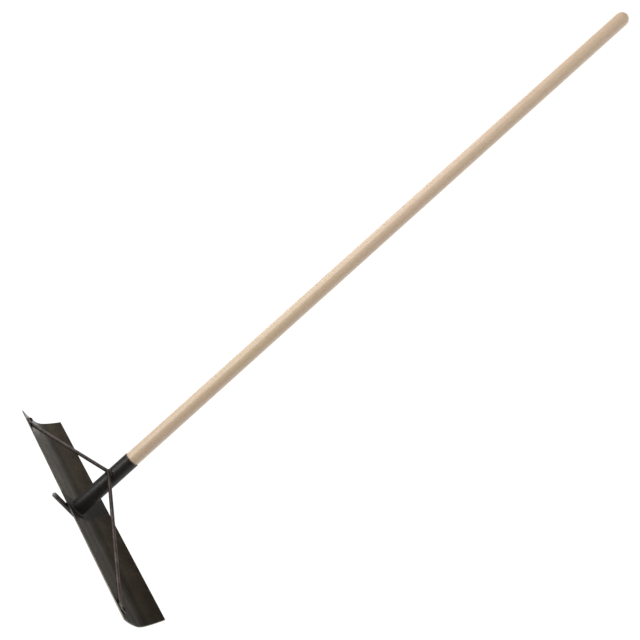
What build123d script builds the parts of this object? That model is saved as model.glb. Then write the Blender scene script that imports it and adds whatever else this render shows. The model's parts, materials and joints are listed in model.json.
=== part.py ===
from build123d import *

import math
import os

# Concrete placer: a long-handled, hoe-like tool that pulls wet concrete, with a hook for lifting wire mesh.
#
# A curved sheet-steel blade is welded to a tube socket that holds a wooden handle. One bent rod runs over the
# socket and out to both ends of the blade as a brace, and a straight rod on the blade's back is the hook.
#
# The pieces are drawn in a tool frame in millimetres: +Y runs along the handle from the socket's mouth to the
# free end, X runs along the blade, and +Z points to the hook's side. At the end they are moved to the part's
# own frame, where the tool lies on the ground on the blade's lower edge and the handle's free end. The origin
# there is the middle of the blade's lower edge, +Y still points to the free end and +Z is up.

# Handle
HANDLE_DIAMETER = 28.0
HANDLE_REACH = 1246.6
HANDLE_ROUND_OVER = 12.7
TENON_LENGTH = 125.0
TENON_CHAMFER = 2.0
SHOULDER_GAP = 0.5
SHOULDER_CHAMFER = 0.8

# Socket, a plain tube
SOCKET_DIAMETER = 30.0
SOCKET_WALL = 1.5
SOCKET_RIM_ROUND = 0.4
SOCKET_WELD_SIZE = 4.0

# Blade, a sheet pressed into a trough. Its section is a chain of arcs, each (length, turn in degrees), from
# the top edge down: a gently rolled upper part, a tighter bend and a gently rolled lip.
BLADE_WIDTH = 495.3
BLADE_SHEET = 1.9
BLADE_SECTION = [(46.0, 12.6), (20.0, 34.0), (35.6, 11.4)]
BLADE_TOP_HEADING = 16.6
BLADE_TOP_Y = -124.1
BLADE_TOP_Z = 32.9

# Brace, one round rod with both ends flattened into tabs
BRACE_DIAMETER = 6.35
BRACE_APEX_Y = -40.8
BRACE_APEX_BEND = 14.0
BRACE_APEX_GAP = 0.2
BRACE_FOOT_X = 210.0
BRACE_FOOT_BEND = 12.0
BRACE_HEIGHT = 20.0
RIVET_X = 228.0
TAB_WIDTH = 12.5
TAB_THICKNESS = 2.8
TAB_EDGE_ROUND = 1.3
TAB_START_X = 217.5
ROUND_END_X = 212.5
BRACE_WELD_RADIUS = 2.4
BRACE_WELD_SPAN = 26.0

# Rivets, one through each tab of the brace and the blade: a round head on the tab, a flatter one on the back
RIVET_DIAMETER = 6.35
RIVET_HEAD_DIAMETER = 10.4
RIVET_HEAD_HEIGHT = 3.7
RIVET_TAIL_DIAMETER = 9.6
RIVET_TAIL_HEIGHT = 1.7
RIVET_HOLE_DIAMETER = 6.5

# Hook, a straight rod beside the blade's back, with welds between its lower part and the blade
HOOK_DIAMETER = 7.9
HOOK_LEAN = 14.5
HOOK_FOOT_Z = -12.0
HOOK_TIP_Z = 71.5
HOOK_TIP_ROUND = 2.6
HOOK_ROOT_GAP = 1.1
HOOK_WELD_RADIUS = 3.2
HOOK_WELD_SPAN = (6.0, 30.0)

# Handle screw, a round-headed wood screw in the socket's underside
SCREW_Y = -22.0
SCREW_HEAD_DIAMETER = 8.6
SCREW_HEAD_HEIGHT = 3.0
SCREW_SLOT = (1.2, 1.3)
SCREW_SHANK_DIAMETER = 4.2
SCREW_CORE_DIAMETER = 3.0
SCREW_PITCH = 1.8
SCREW_THREADS = 9
SCREW_HOLE_DIAMETER = 4.7

TOUCH = 0.02
FAR = 400.0

SOCKET_RADIUS = SOCKET_DIAMETER / 2
SOCKET_BORE_RADIUS = SOCKET_RADIUS - SOCKET_WALL
HANDLE_RADIUS = HANDLE_DIAMETER / 2
BRACE_RADIUS = BRACE_DIAMETER / 2
HOOK_RADIUS = HOOK_DIAMETER / 2
SECTION_LENGTH = sum(length for length, _ in BLADE_SECTION)


# ---- The blade's section, as points in the (Y, Z) plane -------------------------------------------------


def section_point(distance, offset=0.0):
    """Point (y, z) at a distance down the sheet's middle line, moved by offset towards the handle."""
    y, z, heading = BLADE_TOP_Y, BLADE_TOP_Z, math.radians(BLADE_TOP_HEADING)
    left = distance
    for length, turn in BLADE_SECTION:
        step = min(left, length)
        bend = math.radians(turn) * step / length
        chord = step if bend == 0 else step * math.sin(bend / 2) / (bend / 2)
        y -= chord * math.sin(heading - bend / 2)
        z -= chord * math.cos(heading - bend / 2)
        heading -= bend
        left -= step
        if left <= 0:
            break
    return y + offset * math.cos(heading), z - offset * math.sin(heading)


def section_heading(distance):
    """How far the sheet leans away from the handle as it goes down, in degrees, at that distance."""
    heading = BLADE_TOP_HEADING
    for length, turn in BLADE_SECTION:
        step = min(distance, length)
        heading -= turn * step / length
        distance -= step
    return heading


def distance_at_height(z):
    """Distance down the section at which the middle line is at height z."""
    low, high = 0.0, SECTION_LENGTH
    while high - low > 1e-7:
        middle = (low + high) / 2
        if section_point(middle)[1] > z:
            low = middle
        else:
            high = middle
    return (low + high) / 2


def section_edges(offset):
    """Edges of the section, moved by offset, from the top edge down."""
    edges, start = [], 0.0
    for length, turn in BLADE_SECTION:
        ends = section_point(start, offset), section_point(start + length, offset)
        if turn:
            edges.append(ThreePointArc(ends[0], section_point(start + length / 2, offset), ends[1]))
        else:
            edges.append(Line(*ends))
        start += length
    return edges


def section_prism(near, far, width):
    """Solid between the section moved by near and a second edge list or offset, across the given width."""
    near_edges = section_edges(near)
    far_edges = section_edges(far) if isinstance(far, float) else far
    start, end = near_edges[0] @ 0, near_edges[-1] @ 1
    far_start, far_end = far_edges[0] @ 0, far_edges[-1] @ 1
    outline = [*near_edges, *far_edges, Line(start, far_start), Line(end, far_end)]
    return extrude(Plane.YZ * make_face(outline), amount=width / 2, both=True)


def space_behind():
    """Everything on the far side of the blade's concave face, for trimming what stands on that face."""
    top, bottom = section_point(0.0, BLADE_SHEET / 2), section_point(SECTION_LENGTH, BLADE_SHEET / 2)
    wall = Line((-FAR, top[1]), (-FAR, bottom[1]))
    return section_prism(BLADE_SHEET / 2, [wall], BLADE_WIDTH)


def space_in_front():
    """Everything on the handle's side of the blade's back, for trimming what stands on the back."""
    top, bottom = section_point(0.0, -BLADE_SHEET / 2), section_point(SECTION_LENGTH, -BLADE_SHEET / 2)
    wall = Line((0.0, top[1]), (0.0, bottom[1]))
    return section_prism(-BLADE_SHEET / 2, [wall], BLADE_WIDTH)


# ---- Helpers --------------------------------------------------------------------------------------------


def along_handle(radius, start, end):
    """Round bar on the handle's axis."""
    across = Plane(origin=(0, start, 0), x_dir=(1, 0, 0), z_dir=(0, 1, 0))
    return across * extrude(Circle(radius), amount=end - start)


def blade_plane(x, z, offset):
    """Plane tangent to the blade at x and height z, moved by offset, with its normal towards the handle."""
    distance = distance_at_height(z)
    y, z = section_point(distance, offset)
    lean = math.radians(section_heading(distance))
    return Plane(origin=(x, y, z), x_dir=(1, 0, 0), z_dir=(0, math.cos(lean), -math.sin(lean)))


def turned(points):
    """Solid of revolution about Z from points given as (radius, height), closed on the axis."""
    outline = [Line((a[0], a[1]), (b[0], b[1])) for a, b in zip(points, points[1:] + points[:1])]
    return revolve(Plane.XZ * make_face(outline), axis=Axis.Z)


def thread_points(core, crest, start, pitch, count):
    """Half section of a row of annular thread ridges that goes down from height start."""
    points = [(core, start)]
    for turn in range(count):
        top = start - turn * pitch
        points += [(crest, top - pitch * 0.5), (core, top - pitch)]
    return points


def dome(diameter, height):
    """Low round head standing on Z = 0."""
    sphere = (diameter**2 / 4 + height**2) / (2 * height)
    ball = Pos(0, 0, height - sphere) * Sphere(sphere)
    return ball & (Pos(0, 0, height / 2) * Cylinder(diameter / 2, height))


# ---- Pieces ---------------------------------------------------------------------------------------------


def make_blade():
    blade = section_prism(-BLADE_SHEET / 2, BLADE_SHEET / 2, BLADE_WIDTH)
    for side in (-1, 1):
        blade -= rivet_place(side) * Cylinder(RIVET_HOLE_DIAMETER / 2, 4 * BLADE_SHEET)
    return blade


def make_socket(behind, screw_hole):
    tube = along_handle(SOCKET_RADIUS, -FAR / 2, 0)
    rim = tube.edges().filter_by(GeomType.CIRCLE).sort_by(Axis.Y)[-1]
    tube = fillet(rim, SOCKET_RIM_ROUND)
    bore = along_handle(SOCKET_BORE_RADIUS, -FAR, 1)
    return tube - bore - behind - screw_hole


def make_socket_weld(behind):
    """Fillet bead all round the socket's end, on the blade."""
    foot = blade_plane(0, 0, BLADE_SHEET / 2)
    bead = foot * Torus(SOCKET_RADIUS, SOCKET_WELD_SIZE)
    return bead - along_handle(SOCKET_RADIUS + TOUCH, -FAR / 2, 0) - behind


def make_handle(screw):
    """Wooden handle: a tenon inside the socket, a chamfered shoulder and a rounded free end."""
    grip = along_handle(HANDLE_RADIUS, SHOULDER_GAP, HANDLE_REACH)
    rims = grip.edges().filter_by(GeomType.CIRCLE).sort_by(Axis.Y)
    grip = fillet(rims[-1], HANDLE_ROUND_OVER)
    rims = grip.edges().filter_by(GeomType.CIRCLE).sort_by(Axis.Y)
    grip = chamfer(rims[0], SHOULDER_CHAMFER)
    tenon = along_handle(SOCKET_BORE_RADIUS - TOUCH, -TENON_LENGTH, SHOULDER_GAP)
    rims = tenon.edges().filter_by(GeomType.CIRCLE).sort_by(Axis.Y)
    tenon = chamfer(rims[0], TENON_CHAMFER)
    return grip + tenon - screw


def make_screw():
    """Round-headed wood screw, drawn pointing down and then turned to enter the socket from below."""
    shank = SCREW_SHANK_DIAMETER / 2
    core = SCREW_CORE_DIAMETER / 2
    plain = 5.0
    tip = 4.0
    ridges = thread_points(core, shank, -plain, SCREW_PITCH, SCREW_THREADS)
    end = -plain - SCREW_PITCH * SCREW_THREADS
    outline = [(0, 0), (shank, 0), (shank, -plain), *ridges, (0, end - tip)]
    body = turned(outline)
    width, depth = SCREW_SLOT
    slot = Pos(0, 0, SCREW_HEAD_HEIGHT - depth / 2) * Box(SCREW_HEAD_DIAMETER, width, depth)
    screw = body + (dome(SCREW_HEAD_DIAMETER, SCREW_HEAD_HEIGHT) - slot)
    return Plane(origin=(0, SCREW_Y, -SOCKET_RADIUS), x_dir=(1, 0, 0), z_dir=(0, 0, -1)) * screw


def make_screw_hole():
    depth = SOCKET_WALL * 2
    return Pos(0, SCREW_Y, -SOCKET_RADIUS + SOCKET_WALL / 2) * Cylinder(SCREW_HOLE_DIAMETER / 2, depth)


def brace_line():
    """Brace centre line: over the socket, straight to each end of the blade, then along the blade."""
    foot_y, foot_z = section_point(distance_at_height(BRACE_HEIGHT), BLADE_SHEET / 2 + BRACE_RADIUS + TOUCH)
    apex_z = SOCKET_RADIUS + BRACE_RADIUS + BRACE_APEX_GAP
    points = [
        (-ROUND_END_X, foot_y, foot_z),
        (-BRACE_FOOT_X, foot_y, foot_z),
        (0, BRACE_APEX_Y, apex_z),
        (BRACE_FOOT_X, foot_y, foot_z),
        (ROUND_END_X, foot_y, foot_z),
    ]
    return FilletPolyline(*points, radius=[BRACE_FOOT_BEND, BRACE_APEX_BEND, BRACE_FOOT_BEND])


def across_tab(x, height):
    """Plane across the brace's tab at x, centred at a height over the blade's concave face."""
    face = blade_plane(x, BRACE_HEIGHT, BLADE_SHEET / 2 + height)
    return Plane(origin=face.origin, x_dir=face.y_dir, z_dir=(1, 0, 0))


def make_tab(side, behind):
    """Flattened end of the brace, with its rivet hole, lying on the blade's concave face."""
    length = RIVET_X - TAB_START_X
    outline = Pos(-length / 2, 0) * Rectangle(length, TAB_WIDTH) + Circle(TAB_WIDTH / 2)
    flat = extrude(outline, amount=TAB_THICKNESS)
    rim = flat.edges().group_by(Axis.Z)
    flat = fillet((rim[0] + rim[-1]).filter_by(lambda edge: (edge @ 0.5).X > -length + 0.1), TAB_EDGE_ROUND)
    flat = blade_plane(RIVET_X, BRACE_HEIGHT, BLADE_SHEET / 2 + TOUCH) * flat
    round_end = across_tab(ROUND_END_X, BRACE_RADIUS + TOUCH) * Circle(BRACE_RADIUS)
    flat_end = across_tab(TAB_START_X, TAB_THICKNESS / 2 + TOUCH) * SlotOverall(TAB_WIDTH, TAB_THICKNESS)
    hole = rivet_place(1) * Cylinder(RIVET_HOLE_DIAMETER / 2, 4 * TAB_THICKNESS)
    tab = flat + loft([round_end, flat_end]) - behind - hole
    return tab if side > 0 else mirror(tab, about=Plane.YZ)


def make_brace(behind):
    line = brace_line()
    start = Plane(origin=line @ 0, z_dir=line % 0)
    rod = sweep(start * Circle(BRACE_RADIUS), path=line)
    return rod + make_tab(1, behind) + make_tab(-1, behind)


def make_brace_weld(side, brace, socket):
    """Bead between brace and socket: side 1 is towards the handle's free end, -1 towards the blade."""
    path_radius = SOCKET_RADIUS + BRACE_WELD_RADIUS * 0.2
    y = BRACE_APEX_Y + side * (BRACE_RADIUS + BRACE_WELD_RADIUS * 0.25) - 0.6
    middle = Vector(0, y, path_radius)
    half = math.radians(BRACE_WELD_SPAN)
    ends = [(sign * path_radius * math.sin(half), y, path_radius * math.cos(half)) for sign in (-1, 1)]
    path = ThreePointArc(ends[0], middle, ends[1])
    bead = sweep(Plane(origin=path @ 0, z_dir=path % 0) * Circle(BRACE_WELD_RADIUS), path=path)
    for end in (path @ 0, path @ 1):
        bead += Pos(*end) * Sphere(BRACE_WELD_RADIUS)
    inside = along_handle(SOCKET_RADIUS, -FAR / 2, 0)
    return bead - inside - brace


def rivet_place(side):
    """Plane at a rivet on the blade's concave face, normal towards the handle."""
    return blade_plane(side * RIVET_X, BRACE_HEIGHT, BLADE_SHEET / 2)


def make_rivet(side):
    """Solid rivet: the head stands on the tab and the tail is closed on the blade's back."""
    tail_height = -BLADE_SHEET - TOUCH
    head_height = TAB_THICKNESS + 2 * TOUCH
    length = head_height - tail_height
    head = Pos(0, 0, head_height) * dome(RIVET_HEAD_DIAMETER, RIVET_HEAD_HEIGHT)
    tail = Pos(0, 0, tail_height) * Rot(180, 0, 0) * dome(RIVET_TAIL_DIAMETER, RIVET_TAIL_HEIGHT)
    shank = Pos(0, 0, tail_height + length / 2) * Cylinder(RIVET_DIAMETER / 2, length)
    return rivet_place(side) * (head + tail + shank)


def hook_end(z):
    """Point on the hook's centre line at height z. The line and the blade are parallel at their nearest."""
    length, turn = BLADE_SECTION[0]
    nearest = length * (BLADE_TOP_HEADING - HOOK_LEAN) / turn
    y, nearest_z = section_point(nearest, -(BLADE_SHEET / 2 + HOOK_ROOT_GAP + HOOK_RADIUS))
    return Vector(0, y + (z - nearest_z) * math.tan(math.radians(HOOK_LEAN)), z)


def make_hook():
    foot, tip = hook_end(HOOK_FOOT_Z), hook_end(HOOK_TIP_Z)
    rod = Plane(origin=foot, z_dir=tip - foot) * extrude(Circle(HOOK_RADIUS), amount=(tip - foot).length)
    rims = rod.edges().filter_by(GeomType.CIRCLE).sort_by(Axis.Z)
    return fillet(rims[-1], HOOK_TIP_ROUND)


def make_hook_weld(side, hook, front):
    """Bead between the hook and the blade's back, on one side of the hook."""
    start, end = (section_point(distance, -BLADE_SHEET / 2) for distance in HOOK_WELD_SPAN)
    middle = section_point(sum(HOOK_WELD_SPAN) / 2, -BLADE_SHEET / 2)
    x = side * HOOK_RADIUS * 0.85
    path = ThreePointArc((x, *start), (x, *middle), (x, *end))
    bead = sweep(Plane(origin=path @ 0, z_dir=path % 0) * Circle(HOOK_WELD_RADIUS), path=path)
    for tip in (path @ 0, path @ 1):
        bead += Pos(*tip) * Sphere(HOOK_WELD_RADIUS)
    return bead - front - hook


# ---- The part's own frame -------------------------------------------------------------------------------


def lower_edge():
    """Point (y, z) of the blade's lowest corner in the tool frame."""
    return section_point(SECTION_LENGTH, -BLADE_SHEET / 2)


def ground_tilt():
    """Angle in degrees by which the ground climbs towards the handle's free end in the tool frame."""
    y, z = lower_edge()
    centre_y = HANDLE_REACH - HANDLE_ROUND_OVER
    centre_z = HANDLE_ROUND_OVER - HANDLE_RADIUS
    reach = math.hypot(centre_y - y, centre_z - z)
    return math.degrees(math.atan2(centre_z - z, centre_y - y) - math.asin(HANDLE_ROUND_OVER / reach))


def to_part_frame():
    """Location that carries the tool frame to the part's own frame."""
    y, z = lower_edge()
    return Rot(-ground_tilt(), 0, 0) * Pos(0, -y, -z)


def build():
    """Every piece by node name, in the tool frame. Left and right are those of a person at the handle."""
    behind, front = space_behind(), space_in_front()
    screw = make_screw()
    pieces = {
        "blade": make_blade(),
        "socket_tube": make_socket(behind, make_screw_hole()),
        "socket_weld": make_socket_weld(behind),
        "wood_handle": make_handle(screw),
        "handle_screw": screw,
        "brace_rod": make_brace(behind),
        "hook_rod": make_hook(),
    }
    for name, side in (("front", 1), ("rear", -1)):
        pieces[f"brace_weld_{name}"] = make_brace_weld(side, pieces["brace_rod"], pieces["socket_tube"])
    for name, side in (("left", 1), ("right", -1)):
        pieces[f"brace_rivet_{name}"] = make_rivet(side)
        pieces[f"hook_weld_{name}"] = make_hook_weld(side, pieces["hook_rod"], front)
    return pieces


def main():
    os.makedirs("parts", exist_ok=True)
    place = to_part_frame()
    for name, piece in build().items():
        export_step(place * piece, f"parts/{name}.step")


if __name__ == "__main__":
    main()
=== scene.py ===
import json
import math

import bpy
from mathutils import Matrix, Vector, noise
from mathutils.bvhtree import BVHTree


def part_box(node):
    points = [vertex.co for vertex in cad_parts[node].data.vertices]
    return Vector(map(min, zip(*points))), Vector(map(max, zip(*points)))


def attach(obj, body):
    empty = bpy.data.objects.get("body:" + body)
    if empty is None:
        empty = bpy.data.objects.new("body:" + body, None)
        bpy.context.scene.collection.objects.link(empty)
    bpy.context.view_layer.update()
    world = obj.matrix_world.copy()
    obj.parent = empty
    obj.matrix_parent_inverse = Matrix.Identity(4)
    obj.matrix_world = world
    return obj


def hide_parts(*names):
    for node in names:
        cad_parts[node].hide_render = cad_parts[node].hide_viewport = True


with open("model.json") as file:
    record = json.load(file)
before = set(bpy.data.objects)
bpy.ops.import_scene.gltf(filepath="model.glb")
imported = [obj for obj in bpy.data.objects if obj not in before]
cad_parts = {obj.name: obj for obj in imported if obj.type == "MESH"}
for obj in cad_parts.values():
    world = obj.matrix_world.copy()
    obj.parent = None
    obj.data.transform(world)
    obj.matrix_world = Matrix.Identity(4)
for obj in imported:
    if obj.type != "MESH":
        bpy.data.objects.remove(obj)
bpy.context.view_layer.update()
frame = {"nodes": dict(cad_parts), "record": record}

# A concrete placer on a plain white floor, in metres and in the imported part's frame: the tool lies
# on the blade's lower edge and the handle's free end, +Y runs to the free end, +Z is up and X runs
# along the blade.
#
# Several looks and beads are laid out in a tool frame: its origin is the middle of the socket's
# mouth, its Y is the handle's axis and its Z points to the hook's side.

MM = 0.001
nodes = frame["nodes"]
mounts = {mount["name"]: mount for mount in frame["record"]["mounts"]}

ACROSS = Vector((1, 0, 0))
ALONG = Vector(mounts["grip"]["axis"]).normalized()
OVER = ACROSS.cross(ALONG)
PITCH = math.atan2(-ALONG.z, ALONG.y)
GRIP_POINT = Vector(mounts["grip"]["pos_m"])
SOCKET_REACH = max(ALONG.dot(v.co - GRIP_POINT) for v in nodes["socket_tube"].data.vertices)
MOUTH = GRIP_POINT + ALONG * SOCKET_REACH


def at(x, y, z):
    """Point of the tool frame, given in metres, in the part's frame."""
    return MOUTH + ACROSS * x + ALONG * y + OVER * z


def in_tool_frame(point):
    """Point of the part's frame in the tool frame."""
    offset = Vector(point) - MOUTH
    return Vector((ACROSS.dot(offset), ALONG.dot(offset), OVER.dot(offset)))


# ---- Material nodes ------------------------------------------------------------------------------


def rgb(red, green, blue):
    """Linear colour from sRGB numbers out of 255."""
    def linear(value):
        value /= 255
        return value / 12.92 if value <= 0.04045 else ((value + 0.055) / 1.055) ** 2.4
    return linear(red), linear(green), linear(blue), 1.0


class Paint:
    """One material's node tree, with short calls for the nodes used here."""

    def __init__(self, name):
        self.material = bpy.data.materials.new(name)
        self.material.use_nodes = True
        self.tree = self.material.node_tree
        self.shader = self.tree.nodes["Principled BSDF"]

    def feed(self, socket, value):
        if isinstance(value, bpy.types.NodeSocket):
            self.tree.links.new(value, socket)
        else:
            socket.default_value = value

    def add(self, kind, settings=None, **inputs):
        node = self.tree.nodes.new(kind)
        for key, value in (settings or {}).items():
            setattr(node, key, value)
        for key, value in inputs.items():
            self.feed(node.inputs[key.replace("_", " ")], value)
        return node

    def part_place(self):
        """Place in the part's frame."""
        return self.add("ShaderNodeTexCoord").outputs["Object"]

    def tool_place(self):
        """Place in the tool frame."""
        shift = -(Matrix.Rotation(PITCH, 3, "X") @ MOUTH)
        place = self.part_place()
        turn = (PITCH, 0, 0)
        return self.add("ShaderNodeMapping", Vector=place, Rotation=turn, Location=shift).outputs[0]

    def stretch(self, vector, factors):
        node = self.add("ShaderNodeVectorMath", {"operation": "MULTIPLY"})
        self.feed(node.inputs[0], vector)
        self.feed(node.inputs[1], factors)
        return node.outputs[0]

    def split(self, vector):
        outputs = self.add("ShaderNodeSeparateXYZ", Vector=vector).outputs
        return outputs[0], outputs[1], outputs[2]

    def noise(self, vector, scale=1.0, detail=4.0, roughness=0.5, distortion=0.0):
        look = {"Scale": scale, "Detail": detail, "Roughness": roughness, "Distortion": distortion}
        return self.add("ShaderNodeTexNoise", Vector=vector, **look).outputs["Fac"]

    def cells(self, vector, scale):
        """Distance to the middle of the nearest cell, for specks and lumps."""
        return self.add("ShaderNodeTexVoronoi", Vector=vector, Scale=scale).outputs["Distance"]

    def math(self, operation, a, b=0.0, clamp=False):
        node = self.add("ShaderNodeMath", {"operation": operation, "use_clamp": clamp})
        self.feed(node.inputs[0], a)
        self.feed(node.inputs[1], b)
        return node.outputs[0]

    def total(self, *weighted):
        """Sum of (value, weight) pairs."""
        products = [self.math("MULTIPLY", value, weight) for value, weight in weighted]
        result = products[0]
        for product in products[1:]:
            result = self.math("ADD", result, product)
        return result

    def remap(self, value, low, high, out_low=0.0, out_high=1.0):
        node = self.add("ShaderNodeMapRange", {"clamp": True}, Value=value)
        limits = {"From Min": low, "From Max": high, "To Min": out_low, "To Max": out_high}
        for name, number in limits.items():
            node.inputs[name].default_value = number
        return node.outputs[0]

    def distance(self, a, b):
        squares = self.math("ADD", self.math("MULTIPLY", a, a), self.math("MULTIPLY", b, b))
        return self.math("SQRT", squares)

    def blend(self, amount, first, second, mode="MIX"):
        factor, colour_a, colour_b, colour_out = 0, 6, 7, 2
        node = self.add("ShaderNodeMix", {"data_type": "RGBA", "blend_type": mode})
        self.feed(node.inputs[factor], amount)
        self.feed(node.inputs[colour_a], first)
        self.feed(node.inputs[colour_b], second)
        return node.outputs[colour_out]

    def grey(self, value):
        return self.add("ShaderNodeCombineColor", Red=value, Green=value, Blue=value).outputs[0]

    def ramp(self, value, stops):
        node = self.add("ShaderNodeValToRGB", Fac=value)
        elements = node.color_ramp.elements
        while len(elements) < len(stops):
            elements.new(0.5)
        for element, (position, tone) in zip(elements, stops):
            element.position = position
            element.color = tone
        return node.outputs[0]

    def bump(self, height, distance, normal=None):
        node = self.add("ShaderNodeBump", Height=height, Distance=distance)
        if normal is not None:
            self.feed(node.inputs["Normal"], normal)
        return node.outputs[0]

    def finish(self, **sockets):
        for name, value in sockets.items():
            self.feed(self.shader.inputs[name.replace("_", " ")], value)
        return self.material


# ---- Materials -----------------------------------------------------------------------------------


def make_hardwood():
    """Pale, straight-grained wood under a thin clear lacquer, its growth rings cut at a slight slant."""
    ring_width = 2.1 * MM
    ring_wander = 16 * MM
    late_start, late_end = 0.45, 0.93
    pith = (-55 * MM, 34 * MM)
    slant = 0.007
    p = Paint("hardwood")
    place = p.tool_place()
    x, y, z = p.split(place)
    wander = p.noise(p.stretch(place, (22, 1.7, 22)), detail=3.0)
    radius = p.distance(p.math("SUBTRACT", x, pith[0]), p.math("SUBTRACT", z, pith[1]))
    radius = p.total((radius, 1.0), (y, slant), (wander, ring_wander))
    ring = p.math("FRACT", p.math("DIVIDE", radius, ring_width))
    late_wood = p.remap(ring, late_start, late_end)
    ring_edge = p.remap(ring, late_end, 1.0, 1.0, 0.0)
    late_wood = p.math("MULTIPLY", late_wood, ring_edge)
    fibres = p.noise(p.stretch(place, (900, 11, 900)), detail=3.0, roughness=0.6)
    pores = p.remap(p.noise(p.stretch(place, (2600, 75, 2600)), detail=1.0), 0.60, 0.70)
    pores = p.math("MULTIPLY", pores, p.math("SUBTRACT", 1.0, late_wood))
    drift = p.noise(p.stretch(place, (34, 3.2, 34)), detail=2.0)
    flecks = p.remap(p.noise(p.stretch(place, (420, 34, 420)), detail=2.0), 0.66, 0.74)
    tone = p.ramp(drift, [
        (0.30, rgb(208, 180, 154)),
        (0.50, rgb(206, 181, 151)),
        (0.70, rgb(204, 181, 147)),
    ])
    tone = p.blend(p.math("MULTIPLY", late_wood, 0.42), tone, rgb(174, 143, 111))
    tone = p.blend(p.remap(fibres, 0.35, 0.75, 0.0, 0.35), tone, rgb(180, 152, 124))
    tone = p.blend(p.math("MULTIPLY", pores, 0.40), tone, rgb(148, 116, 86))
    tone = p.blend(p.math("MULTIPLY", flecks, 0.25), tone, rgb(228, 210, 186))
    relief = p.total((fibres, 0.5), (late_wood, 0.25), (pores, -0.6))
    return p.finish(
        Base_Color=tone,
        Roughness=p.remap(fibres, 0.3, 0.8, 0.38, 0.56),
        Coat_Weight=1.0,
        Coat_Roughness=0.48,
        Coat_IOR=1.6,
        Normal=p.bump(relief, 0.10 * MM),
    )


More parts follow.
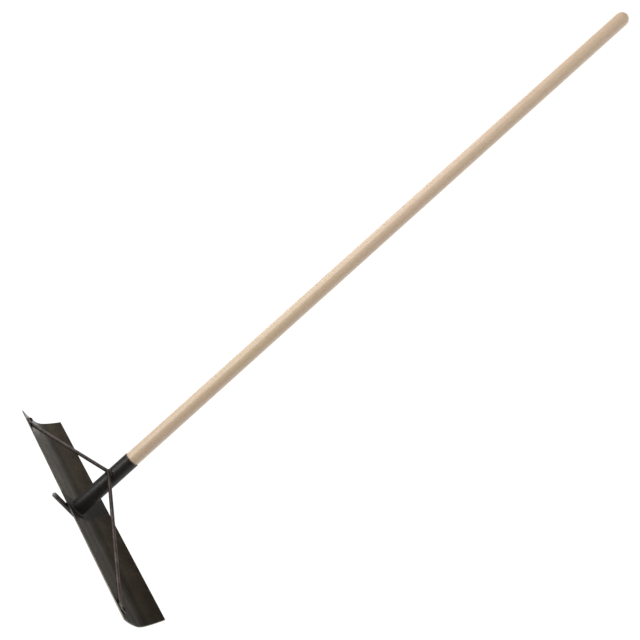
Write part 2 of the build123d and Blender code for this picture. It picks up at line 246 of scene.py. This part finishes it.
def make_blade_steel():
    """Dark rolled sheet, streaked along its length, with painted shade below the bend and painted light
    above it.
    """
    left_x, right_x = 0.24, -0.20
    bright_below, plain_above = 3 * MM, 14 * MM
    above_bend_start, above_bend_full = -38 * MM, 8 * MM
    edge_margin = 0.9 * MM
    paint_shift = 5 * MM
    paint_squash = 0.42
    paint_ragged = 26 * MM
    paint_full, paint_end = 35 * MM, 43 * MM
    low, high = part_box("blade")
    p = Paint("blade_steel")
    place = p.part_place()
    x, _, z = p.split(place)
    streaks = p.noise(p.stretch(place, (7, 330, 330)), detail=4.0, roughness=0.6)
    mottle = p.noise(place, 55.0, detail=5.0, roughness=0.6)
    blotches = p.noise(p.stretch(place, (22, 40, 40)), detail=2.0)
    grit = p.noise(place, 1500.0, detail=2.0)
    flakes = p.remap(p.noise(place, 120.0, detail=6.0, roughness=0.7, distortion=0.8), 0.53, 0.58)
    drawn_lines = p.remap(p.noise(p.stretch(place, (9, 2100, 2100)), detail=2.0), 0.60, 0.72)
    slanted = p.add("ShaderNodeMapping", Vector=place, Rotation=(0, math.radians(38), 0)).outputs[0]
    scuffs = p.remap(p.noise(p.stretch(slanted, (38, 900, 1900)), detail=2.0), 0.67, 0.73)
    scuffs = p.math("MULTIPLY", scuffs, p.remap(mottle, 0.45, 0.60))
    scratches = p.math("MAXIMUM", p.math("MULTIPLY", drawn_lines, 0.6), scuffs)
    specks = p.remap(p.cells(place, 230.0), 0.10, 0.17, 1.0, 0.0)
    specks = p.math("MULTIPLY", specks, p.remap(streaks, 0.50, 0.62))
    tone = p.ramp(mottle, [
        (0.30, rgb(70, 69, 56)),
        (0.50, rgb(77, 72, 61)),
        (0.70, rgb(80, 69, 60)),
    ])
    tone = p.blend(p.remap(streaks, 0.30, 0.75, 0.0, 0.50), tone, rgb(56, 50, 43))
    tone = p.blend(p.remap(grit, 0.55, 0.75, 0.0, 0.30), tone, rgb(92, 88, 80))
    tone = p.blend(p.math("MULTIPLY", flakes, 0.22), tone, rgb(98, 93, 84))
    tone = p.blend(p.math("MULTIPLY", scratches, 0.34), tone, rgb(116, 110, 100))
    tone = p.blend(p.math("MULTIPLY", specks, 0.5), tone, rgb(60, 42, 30))
    # painted shade: the sheet darker below the bend, where it faces away from the bright floor, darkest
    # a little below the bend and less so on the lip
    _, _, over = p.split(p.tool_place())
    above_bend = p.remap(p.math("ADD", over, p.math("MULTIPLY", mottle, 8 * MM)), above_bend_start, above_bend_full)
    painted_shade_below_bend = p.ramp(above_bend, [
        (0.06, (0.49, 0.45, 0.42, 1)),
        (0.24, (0.27, 0.25, 0.23, 1)),
        (0.41, (0.32, 0.30, 0.28, 1)),
        (0.70, (0.68, 0.67, 0.66, 1)),
        (1.00, (1, 1, 1, 1)),
    ])
    # painted light: the sheet lighter towards its -X end, darker towards its +X end, and lighter just
    # above the bend (the painted shade below the bend darkens the rest); the blotches are the sheet's
    # own uneven tone
    shade = p.remap(x, right_x, left_x, 1.15, 0.75)
    shade = p.math("MULTIPLY", shade, p.remap(blotches, 0.30, 0.70, 0.80, 1.22))
    shade = p.math("MULTIPLY", shade, p.remap(over, bright_below, plain_above, 1.28, 1.0))
    tone = p.blend(1.0, tone, p.grey(shade), "MULTIPLY")
    tone = p.blend(1.0, tone, painted_shade_below_bend, "MULTIPLY")
    # sheared edges
    end_edge = p.remap(p.math("ABSOLUTE", x), high.x - edge_margin, high.x - 0.2 * MM)
    low_edge = p.remap(z, low.z + edge_margin, low.z + 1.6 * MM, 1.0, 0.0)
    top_edge = p.remap(z, high.z - edge_margin, high.z - 0.3 * MM)
    edge = p.math("MAXIMUM", end_edge, p.math("MAXIMUM", low_edge, top_edge))
    edge = p.math("MULTIPLY", edge, p.remap(mottle, 0.35, 0.6, 0.35, 0.95))
    tone = p.blend(edge, tone, rgb(102, 98, 90))
    # black paint that went past the socket
    reach = p.distance(p.math("ADD", x, paint_shift), p.math("MULTIPLY", over, paint_squash))
    spatter = p.noise(place, 190.0, detail=6.0, roughness=0.75)
    ragged = p.total((reach, 1.0), (spatter, paint_ragged))
    painted = p.remap(ragged, paint_full, paint_end, 1.0, 0.0)
    tone = p.blend(painted, tone, rgb(23, 20, 17))
    rough = p.total((mottle, 0.22), (streaks, 0.14), (flakes, 0.06), (scratches, -0.06), (painted, 0.22))
    gloss = p.remap(x, right_x, left_x, 0.26, 0.14)
    gloss = p.math("MULTIPLY", gloss, p.math("SUBTRACT", 1.0, painted))
    gloss = p.math("MULTIPLY", gloss, p.remap(over, bright_below, plain_above, 1.5, 1.0))
    gloss = p.math("MULTIPLY", gloss, p.remap(above_bend, 0.30, 0.80, 0.32, 1.0))
    relief = p.total((streaks, 0.35), (grit, 0.25), (mottle, 0.9), (flakes, -0.15), (scratches, -0.25))
    return p.finish(
        Base_Color=tone,
        Metallic=p.remap(painted, 0.0, 1.0, 0.95, 0.4),
        Roughness=p.math("ADD", rough, 0.18),
        Specular_Tint=(0.8, 0.8, 0.8, 1),
        Coat_Weight=gloss,
        Coat_Roughness=0.3,
        Normal=p.bump(relief, 0.12 * MM),
    )


def make_black_enamel(name, lump_size, lump_height, chips):
    """Black paint, lumpy as it dries on rough steel, dusty, and darker and rougher towards the blade.

    chips says how strongly bare steel shows along the rim of the socket's mouth.
    """
    rim_start, rim_full = -1.1 * MM, -0.3 * MM
    dark_full, dark_end = -128 * MM, -50 * MM
    p = Paint(name)
    place = p.tool_place()
    _, y, _ = p.split(place)
    lumps = p.noise(place, 1 / lump_size, detail=3.0, roughness=0.55, distortion=0.6)
    peel = p.noise(place, 1400.0, detail=1.0)
    dust = p.remap(p.cells(place, 420.0), 0.06, 0.12, 1.0, 0.0)
    tone = p.ramp(lumps, [(0.3, rgb(19, 17, 13)), (0.7, rgb(31, 27, 22))])
    tone = p.blend(p.math("MULTIPLY", dust, 0.30), tone, rgb(96, 86, 74))
    rim = p.remap(y, rim_start, rim_full)
    rim = p.math("MULTIPLY", rim, p.remap(lumps, 0.42, 0.58, 0.0, chips))
    tone = p.blend(rim, tone, rgb(112, 98, 90))
    # darker and rougher towards the blade
    towards_blade = p.remap(y, dark_full, dark_end, 1.0, 0.0)
    tone = p.blend(p.math("MULTIPLY", towards_blade, 0.7), tone, rgb(7, 7, 6))
    relief = p.total((lumps, 1.0), (peel, 0.06), (dust, 0.10))
    return p.finish(
        Base_Color=tone,
        Roughness=p.total((p.remap(lumps, 0.3, 0.7, 0.32, 0.50), 1.0), (towards_blade, 0.16)),
        Specular_IOR_Level=0.34,
        Normal=p.bump(relief, lump_height),
    )


def make_rod_steel():
    """Brown-grey drawn rod, tabs painted lighter as a highlight; the socket's paint covers its apex and
    mists its arms.
    """
    tab_start, tab_full = 215 * MM, 221 * MM
    mist_full, mist_end = 80 * MM, 135 * MM
    paint_full, paint_end = 10 * MM, 16 * MM
    p = Paint("rod_steel")
    place = p.part_place()
    x, _, _ = p.split(place)
    patches = p.noise(place, 90.0, detail=5.0, roughness=0.65)
    draw = p.noise(p.stretch(place, (45, 700, 700)), detail=3.0)
    grit = p.noise(place, 1300.0, detail=2.0)
    tone = p.ramp(patches, [
        (0.32, rgb(57, 49, 46)),
        (0.55, rgb(76, 66, 62)),
        (0.74, rgb(96, 85, 81)),
    ])
    tone = p.blend(p.remap(draw, 0.35, 0.75, 0.0, 0.4), tone, rgb(52, 45, 42))
    tone = p.blend(p.remap(grit, 0.58, 0.78, 0.0, 0.3), tone, rgb(128, 114, 108))
    along_x = p.math("ABSOLUTE", x)
    # painted highlight: the flattened tabs painted lighter, as where they face the light
    tab_highlight = p.math("ADD", along_x, p.math("MULTIPLY", patches, 5 * MM))
    tab_highlight = p.remap(tab_highlight, tab_start, tab_full)
    tone = p.blend(p.math("MULTIPLY", tab_highlight, 0.8), tone, rgb(104, 104, 92))
    mist = p.math("ADD", along_x, p.math("MULTIPLY", patches, 30 * MM))
    mist = p.remap(mist, mist_full, mist_end, 1.0, 0.0)
    tone = p.blend(p.math("MULTIPLY", mist, 0.45), tone, rgb(28, 24, 23))
    painted = p.math("ADD", along_x, p.math("MULTIPLY", grit, 5 * MM))
    painted = p.remap(painted, paint_full, paint_end, 1.0, 0.0)
    tone = p.blend(p.math("MULTIPLY", painted, 0.75), tone, rgb(30, 28, 27))
    return p.finish(
        Base_Color=tone,
        Metallic=0.55,
        Roughness=p.remap(patches, 0.3, 0.75, 0.52, 0.36),
        Specular_Tint=(0.6, 0.6, 0.6, 1),
        Normal=p.bump(p.total((patches, 1.0), (grit, 0.2), (draw, 0.25)), 0.12 * MM),
    )


def make_hook_steel():
    """Black-brown rod, rubbed bright at the tip, with the socket's paint ending raggedly at its foot."""
    worn_length = 3 * MM
    paint_full, paint_end = 92 * MM, 108 * MM
    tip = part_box("hook_rod")[1].z
    p = Paint("hook_steel")
    place = p.part_place()
    _, _, z = p.split(place)
    patches = p.noise(place, 110.0, detail=5.0, roughness=0.65)
    grit = p.noise(place, 1300.0, detail=2.0)
    tone = p.ramp(patches, [
        (0.32, rgb(38, 34, 32)),
        (0.55, rgb(54, 48, 45)),
        (0.75, rgb(72, 64, 60)),
    ])
    worn = p.math("ADD", z, p.math("MULTIPLY", patches, 6 * MM))
    worn = p.remap(worn, tip - worn_length, tip + 2 * MM)
    tone = p.blend(p.math("MULTIPLY", worn, 0.7), tone, rgb(118, 117, 116))
    painted = p.math("ADD", z, p.math("MULTIPLY", patches, 24 * MM))
    painted = p.remap(painted, paint_full, paint_end, 1.0, 0.0)
    tone = p.blend(p.math("MULTIPLY", painted, 0.9), tone, rgb(21, 21, 19))
    return p.finish(
        Base_Color=tone,
        Metallic=0.5,
        Roughness=p.remap(patches, 0.3, 0.75, 0.50, 0.34),
        Specular_Tint=(0.6, 0.6, 0.6, 1),
        Normal=p.bump(p.total((patches, 1.0), (grit, 0.25)), 0.12 * MM),
    )


def make_rivet_steel():
    """Black rivet, rubbed to grey in patches."""
    p = Paint("rivet_steel")
    place = p.part_place()
    patches = p.noise(place, 260.0, detail=5.0, roughness=0.65)
    grit = p.noise(place, 1600.0, detail=2.0)
    tone = p.ramp(patches, [
        (0.35, rgb(26, 25, 24)),
        (0.60, rgb(42, 40, 37)),
        (0.78, rgb(82, 78, 71)),
    ])
    return p.finish(
        Base_Color=tone,
        Metallic=0.6,
        Roughness=p.remap(patches, 0.3, 0.75, 0.48, 0.34),
        Specular_Tint=(0.6, 0.6, 0.6, 1),
        Normal=p.bump(p.total((patches, 1.0), (grit, 0.3)), 0.15 * MM),
    )


def make_screw_steel():
    """Blackened screw, faintly streaked along its length and rubbed brighter in patches."""
    p = Paint("screw_steel")
    place = p.part_place()
    patches = p.noise(place, 420.0, detail=4.0, roughness=0.6)
    drawn = p.noise(p.stretch(place, (1200, 1200, 200)), detail=2.0)
    tone = p.ramp(patches, [
        (0.35, rgb(44, 43, 41)),
        (0.62, rgb(72, 70, 66)),
        (0.80, rgb(128, 124, 116)),
    ])
    return p.finish(
        Base_Color=tone,
        Metallic=0.8,
        Roughness=p.remap(patches, 0.3, 0.75, 0.45, 0.30),
        Specular_Tint=(0.7, 0.7, 0.7, 1),
        Normal=p.bump(p.total((patches, 0.6), (drawn, 0.4)), 0.08 * MM),
    )


def dress(material, *names):
    """Gives CAD nodes their material."""
    for name in names:
        data = nodes[name].data
        data.materials.clear()
        data.materials.append(material)


# ---- Weld beads ----------------------------------------------------------------------------------


def surface(name):
    """A CAD node's surface, for finding where a line meets it."""
    data = nodes[name].data
    faces = [list(face.vertices) for face in data.polygons]
    return BVHTree.FromPolygons([v.co for v in data.vertices], faces)


def lay_bead(name, stations, pitch, node, loop=False):
    """Rippled weld bead along a corner.

    A station is the corner's point and its two legs along the surfaces.
    """
    arc_steps = 12
    bulge = 1.25
    ripple_depth = 0.11
    ripple_level = 0.6
    crest_power = 0.6
    lag = 0.9
    waves = ((140, 0.09), (420, 0.05))
    root_depth = 0.08
    blunt_end = 0.06
    count = len(stations)
    travelled = [0.0]
    for before, after in zip(stations, stations[1:]):
        travelled.append(travelled[-1] + (after[0] - before[0]).length)
    length = travelled[-1]
    if loop:
        length += (stations[0][0] - stations[-1][0]).length
        pitch = length / round(length / pitch)
    vertices, faces = [], []
    for (corner, leg_a, leg_b), here in zip(stations, travelled):
        drift = sum(noise.noise(corner * density) * height for density, height in waves)
        fade = 1.0
        if not loop:
            rounding = min(leg_a.length, length / 2)
            inset = min(1.0, min(here, length - here) / rounding)
            fade = max(blunt_end, math.sqrt(1 - (1 - inset) ** 2))
        for step in range(arc_steps + 1):
            angle = math.pi / 2 * step / arc_steps
            spread = 2 * step / arc_steps - 1
            phase = here / pitch - lag * spread**2
            crest = abs(math.sin(math.pi * phase)) ** crest_power
            swell = fade * (1 + drift + ripple_depth * (crest - ripple_level) * (1 - spread**4))
            along_a = leg_a * math.cos(angle) ** bulge
            along_b = leg_b * math.sin(angle) ** bulge
            vertices.append(corner + (along_a + along_b) * swell)
        vertices.append(corner - (leg_a + leg_b) * root_depth * fade)
    ring = arc_steps + 2
    spans = count if loop else count - 1
    for row in range(spans):
        first, second = row * ring, (row + 1) % count * ring
        for step in range(ring):
            after = (step + 1) % ring
            faces.append((first + step, first + after, second + after, second + step))
    if not loop:
        faces.append(tuple(reversed(range(ring))))
        faces.append(tuple(range((count - 1) * ring, count * ring)))
    mesh = bpy.data.meshes.new(name)
    mesh.from_pydata([tuple(v) for v in vertices], [], faces)
    bead = bpy.data.objects.new(name, mesh)
    bpy.context.scene.collection.objects.link(bead)
    turn_outwards(mesh)
    mesh.materials.append(weld_paint)
    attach(bead, "root")
    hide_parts(node)


def turn_outwards(mesh):
    """Makes the faces of a closed mesh point outwards and shades them smoothly."""
    volume = 0.0
    for face in mesh.polygons:
        points = [mesh.vertices[index].co for index in face.vertices]
        for b, c in zip(points[1:], points[2:]):
            volume += points[0].dot(b.cross(c))
    if volume < 0:
        mesh.flip_normals()
    for face in mesh.polygons:
        face.use_smooth = True


def node_radius(name):
    low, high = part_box(name)
    return (high.x - low.x) / 2


def lay_socket_bead():
    """All round the socket's end, on the blade's hollow side."""
    leg = 4.1 * MM
    count = 720
    radius = node_radius("socket_tube")
    blade = surface("blade")
    stations = []
    for step in range(count):
        angle = 2 * math.pi * step / count
        outwards = ACROSS * math.cos(angle) + OVER * math.sin(angle)
        start = MOUTH + outwards * radius
        corner, normal, _, _ = blade.ray_cast(start, -ALONG)
        if normal.dot(ALONG) < 0:
            normal = -normal
        along_blade = (outwards - normal * outwards.dot(normal)).normalized()
        stations.append((corner, along_blade * leg, ALONG * leg))
    lay_bead("socket_weld_bead", stations, 2.3 * MM, "socket_weld", loop=True)


def lay_brace_beads():
    """Short beads on the socket's crown, before and behind the brace."""
    half_span = math.radians(31)
    count = 120
    rise = 4.0 * MM
    overlap = 2.0 * MM
    toe = 4.6 * MM
    radius = node_radius("socket_tube")
    brace = surface("brace_rod")
    low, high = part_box("brace_weld_front")
    crown = in_tool_frame((low + high) / 2)
    rod_height = radius + 3.4 * MM
    well_clear = 60 * MM
    for name, side in (("front", 1), ("rear", -1)):
        stations = []
        for step in range(count + 1):
            angle = half_span * (2 * step / count - 1)
            outwards = ACROSS * math.sin(angle) + OVER * math.cos(angle)
            start = at(radius * math.sin(angle), crown.y + side * well_clear, rod_height)
            rod_side = brace.ray_cast(start, ALONG * -side)[0]
            y = in_tool_frame(rod_side).y - side * overlap
            corner = MOUTH + ALONG * y + outwards * radius
            stations.append((corner, ALONG * side * toe, outwards * rise))
        lay_bead(f"brace_weld_{name}_bead", stations, 1.9 * MM, f"brace_weld_{name}")


def lay_hook_beads():
    """Beads on both sides of the hook's root, on the blade's back."""
    count = 150
    inset = 2.6 * MM
    toe = 3.8 * MM
    climb = 0.95
    margin = 2.5 * MM
    well_behind = -1.0
    blade = surface("blade")
    tip = Vector(mounts["mesh_hook"]["pos_m"])
    rod = Vector(mounts["mesh_hook"]["axis"]).normalized()
    for name, side in (("left", 1), ("right", -1)):
        low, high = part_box(f"hook_weld_{name}")
        stations = []
        for step in range(count + 1):
            z = high.z - margin - (high.z - low.z - 2 * margin) * step / count
            corner = blade.ray_cast(Vector((side * inset, well_behind, z)), Vector((0, 1, 0)))[0]
            middle = Vector((0, corner.y, corner.z))
            to_rod = tip + rod * rod.dot(middle - tip) - middle
            stations.append((corner, ACROSS * side * toe, to_rod * climb))
        lay_bead(f"hook_weld_{name}_bead", stations, 2.2 * MM, f"hook_weld_{name}")


# ---- Floor, light and camera ---------------------------------------------------------------------


def make_floor():
    """White floor, lit mostly by its own glow, so that the shadows on it stay faint."""
    half = 8.0
    mesh = bpy.data.meshes.new("floor")
    corners = [(-half, -half, 0), (half, -half, 0), (half, half, 0), (-half, half, 0)]
    mesh.from_pydata(corners, [], [(0, 1, 2, 3)])
    floor = bpy.data.objects.new("floor", mesh)
    bpy.context.scene.collection.objects.link(floor)
    p = Paint("floor_white")
    darker, lighter = (0.09, 0.09, 0.09, 1), (0.11, 0.11, 0.11, 1)
    tone = p.ramp(p.noise(p.part_place(), 40.0), [(0.0, darker), (1.0, lighter)])
    p.finish(Base_Color=tone, Roughness=0.9, Emission_Color=(1, 1, 1, 1), Emission_Strength=0.97)
    mesh.materials.append(p.material)


def make_light(name, place, target, size, power):
    light = bpy.data.lights.new(name, "AREA")
    light.shape = "RECTANGLE"
    light.size, light.size_y = size
    light.energy = power
    lamp = bpy.data.objects.new(name, light)
    bpy.context.scene.collection.objects.link(lamp)
    lamp.location = place
    lamp.rotation_euler = (Vector(target) - Vector(place)).to_track_quat("-Z", "Y").to_euler()


def make_world():
    world = bpy.data.worlds.new("studio")
    bpy.context.scene.world = world
    world.use_nodes = True
    background = world.node_tree.nodes["Background"]
    background.inputs["Color"].default_value = (1, 1, 1, 1)
    background.inputs["Strength"].default_value = 0.24


def make_camera():
    """Seen from over the blade's left end, and rolled so that the handle runs up to the right."""
    place = Vector((0.8031, 0.4676, 1.0411))
    target = Vector((0.0184, 0.5272, 0.0))
    roll = math.radians(-39.83)
    camera = bpy.data.cameras.new("camera")
    camera.sensor_width = 36.0
    camera.lens = 39.38
    holder = bpy.data.objects.new("camera", camera)
    bpy.context.scene.collection.objects.link(holder)
    upright = (target - place).to_track_quat("-Z", "Y").to_matrix()
    holder.matrix_world = Matrix.Translation(place) @ (upright @ Matrix.Rotation(roll, 3, "Z")).to_4x4()
    bpy.context.scene.camera = holder


weld_paint = make_black_enamel("weld_paint", 2.4 * MM, 0.08 * MM, 0.0)
dress(make_hardwood(), "wood_handle")
dress(make_blade_steel(), "blade")
dress(make_black_enamel("black_enamel", 4.2 * MM, 0.34 * MM, 0.7), "socket_tube")
dress(make_rod_steel(), "brace_rod")
dress(make_hook_steel(), "hook_rod")
dress(make_rivet_steel(), "brace_rivet_left", "brace_rivet_right")
dress(make_screw_steel(), "handle_screw")
dress(weld_paint, "socket_weld", "brace_weld_front", "brace_weld_rear")
dress(weld_paint, "hook_weld_left", "hook_weld_right")
lay_socket_bead()
lay_brace_beads()
lay_hook_beads()

make_floor()
make_world()
make_light("overhead", (-0.55, 0.5, 2.1), (0, 0.5, 0), (3.2, 0.8), 46)
make_light("side", (-2.4, 1.1, 1.2), (0, 1.1, 0), (2.4, 1.2), 28)
make_light("fill", (1.2, 1.8, 1.4), (0, 0.6, 0), (1.5, 1.5), 7)
make_camera()
bpy.context.scene.view_settings.view_transform = "Standard"
